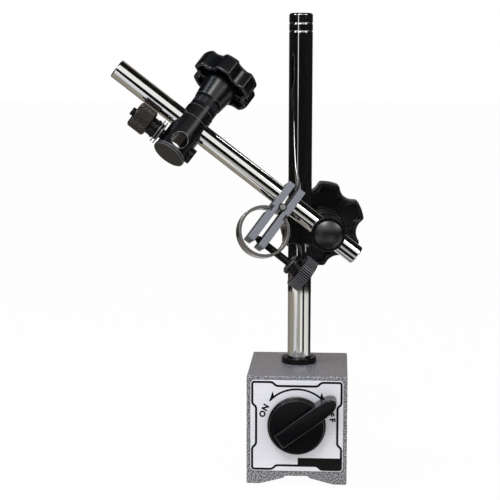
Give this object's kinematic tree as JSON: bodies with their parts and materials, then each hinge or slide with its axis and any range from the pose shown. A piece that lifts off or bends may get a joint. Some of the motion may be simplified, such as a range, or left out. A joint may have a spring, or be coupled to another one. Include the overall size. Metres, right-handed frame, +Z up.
{
  "type": "magnetic indicator stand",
  "caption": "Magnetic stand with switchable block base, upright column, swivel clamp, fine-adjusted arm and a clamp for an 8 mm indicator stem.",
  "frame": {"origin": "centre of the base's underside, on the plane of its feet", "axes": "+Z up along the column, -Y out of the nameplate, +X to the switch's OFF side"},
  "size_m": [0.1254, 0.0802, 0.2334],
  "materials": {
    "hammertone_paint": "hammertone enamel, satin",
    "nameplate_aluminium": "brushed, printed border",
    "black_plastic": "moulded, semi matte",
    "chrome_plate": "polished chrome plate",
    "black_oxide_steel": "black oxide, oiled",
    "phosphated_steel": "grey phosphate, matte",
    "spring_steel": "bright drawn strip",
    "bright_steel": "turned, bright",
    "ferrite_magnet": "sintered, dull",
    "soft_iron": "machined soft iron",
    "turned_brass": "turned, plain"
  },
  "bodies": {
    "base": {"pole_block_left": "hammertone_paint", "pole_block_right": "hammertone_paint", "separator_upper": "hammertone_paint", "separator_lower": "hammertone_paint", "front_disc": "turned_brass", "rear_cover": "bright_steel", "nameplate": "nameplate_aluminium", "stop_pin": "bright_steel", "detent_ball": "bright_steel", "detent_spring": "bright_steel"},
    "switch": {"magnet_block": "ferrite_magnet", "rotor_pole_left": "soft_iron", "rotor_pole_right": "soft_iron", "stop_plate": "bright_steel", "rotor_shaft": "bright_steel", "switch_knob": "black_plastic", "knob_set_screw": "black_oxide_steel"},
    "column": {"column": "chrome_plate", "column_collar": "black_oxide_steel"},
    "clamp": {"column_clamp_block": "black_oxide_steel"},
    "arm": {"bar_eye_bolt": "black_oxide_steel", "bar_clamp_sleeve": "black_oxide_steel"},
    "main_knob": {"main_star_knob": "black_plastic", "main_knob_hub": "black_plastic", "main_knob_insert": "turned_brass", "main_thrust_washer": "black_oxide_steel"},
    "rear_bar": {"rear_bar": "chrome_plate"},
    "adjuster": {"fixed_plate": "phosphated_steel", "fulcrum_pin": "bright_steel", "bow_spring": "spring_steel"},
    "rocker": {"moving_plate": "phosphated_steel"},
    "screw_tip": {"screw_pad": "black_oxide_steel"},
    "wheel": {"adjusting_screw": "black_oxide_steel", "screw_collar": "black_oxide_steel", "adjusting_wheel": "black_oxide_steel"},
    "front_bar": {"front_bar": "chrome_plate"},
    "holder": {"holder_head": "black_oxide_steel", "head_cap": "black_oxide_steel", "clamp_boss": "black_oxide_steel", "holder_sleeve": "black_oxide_steel", "ringed_spacer": "black_oxide_steel"},
    "holder_knob": {"holder_star_knob": "black_plastic", "holder_knob_hub": "black_plastic", "holder_knob_insert": "turned_brass", "holder_thrust_washer": "black_oxide_steel"},
    "stem_tip": {"stem_pad": "turned_brass"},
    "thumb": {"thumb_screw": "black_oxide_steel", "thumb_nub": "black_oxide_steel", "thumb_washer_inner": "bright_steel", "thumb_washer_outer": "bright_steel"}
  },
  "joints": [
    {"name": "switch_turn", "type": "hinge", "parent": "base", "child": "switch", "pos_m": [0, -0.03, 0.0305], "axis": [0, -1, 0], "range_deg": [0, 110]},
    {"name": "column_turn", "type": "hinge", "parent": "base", "child": "column", "pos_m": [0, 0.005, 0.055], "axis": [0, 0, 1], "continuous": true},
    {"name": "clamp_slide", "type": "slide", "parent": "column", "child": "clamp", "axis": [0, 0, 1], "range_m": [-0.034, 0.095]},
    {"name": "arm_tilt", "type": "hinge", "parent": "clamp", "child": "arm", "pos_m": [0.01428, -0.01376, 0.1246], "axis": [0.0767, -0.9971, 0], "range_deg": [-4, 60]},
    {"name": "main_knob_turn", "type": "hinge", "parent": "arm", "child": "main_knob", "pos_m": [0.01198, 0.01615, 0.1246], "axis": [-0.0767, 0.9971, 0], "range_deg": [0, 720]},
    {"name": "bar_slide", "type": "slide", "parent": "arm", "child": "rear_bar", "axis": [0.7857, 0.0605, -0.6157], "range_m": [-0.009, 0.006]},
    {"name": "adjuster_turn", "type": "hinge", "parent": "rear_bar", "child": "adjuster", "pos_m": [-0.0063, -0.01534, 0.14073], "axis": [-0.7857, -0.0605, 0.6157], "range_deg": [-12, 80]},
    {"name": "screw_feed", "type": "slide", "parent": "adjuster", "child": "screw_tip", "axis": [-0.7857, -0.0605, 0.6157], "range_m": [-0.00069, 0.00069]},
    {"name": "wheel_turn", "type": "hinge", "parent": "screw_tip", "child": "wheel", "pos_m": [-0.00045, -0.02239, 0.10739], "axis": [-0.7857, -0.0605, 0.6157], "range_deg": [-360, 360]},
    {"name": "fine_tilt", "type": "hinge", "parent": "adjuster", "child": "rocker", "pos_m": [-0.00933, -0.01725, 0.13668], "axis": [-0.2627, 0.9337, -0.2435], "range_deg": [-2.3, 2.3]},
    {"name": "bar_turn", "type": "hinge", "parent": "rocker", "child": "front_bar", "pos_m": [-0.01023, -0.01565, 0.14381], "axis": [0.7857, 0.0605, -0.6157], "range_deg": [-150, 150]},
    {"name": "holder_slide", "type": "slide", "parent": "front_bar", "child": "holder", "axis": [0.7857, 0.0605, -0.6157], "range_m": [-0.03, 0.01]},
    {"name": "holder_knob_turn", "type": "hinge", "parent": "holder", "child": "holder_knob", "pos_m": [-0.04348, -0.00879, 0.19171], "axis": [0.506, 0.5098, 0.6958], "range_deg": [0, 720]},
    {"name": "stem_feed", "type": "slide", "parent": "holder", "child": "stem_tip", "axis": [0.7857, 0.0605, -0.6157], "range_m": [-0.00158, 0.00059]},
    {"name": "thumb_turn", "type": "hinge", "parent": "stem_tip", "child": "thumb", "pos_m": [-0.07584, -0.02677, 0.18113], "axis": [0.7857, 0.0605, -0.6157], "range_deg": [-720, 270]}
  ],
  "couplings": [
    {"joint": "wheel_turn", "follows": "screw_feed", "rad_per_m": 8976},
    {"joint": "fine_tilt", "follows": "screw_feed", "rad_per_m": 53.191},
    {"joint": "thumb_turn", "follows": "stem_feed", "rad_per_m": 7854}
  ]
}
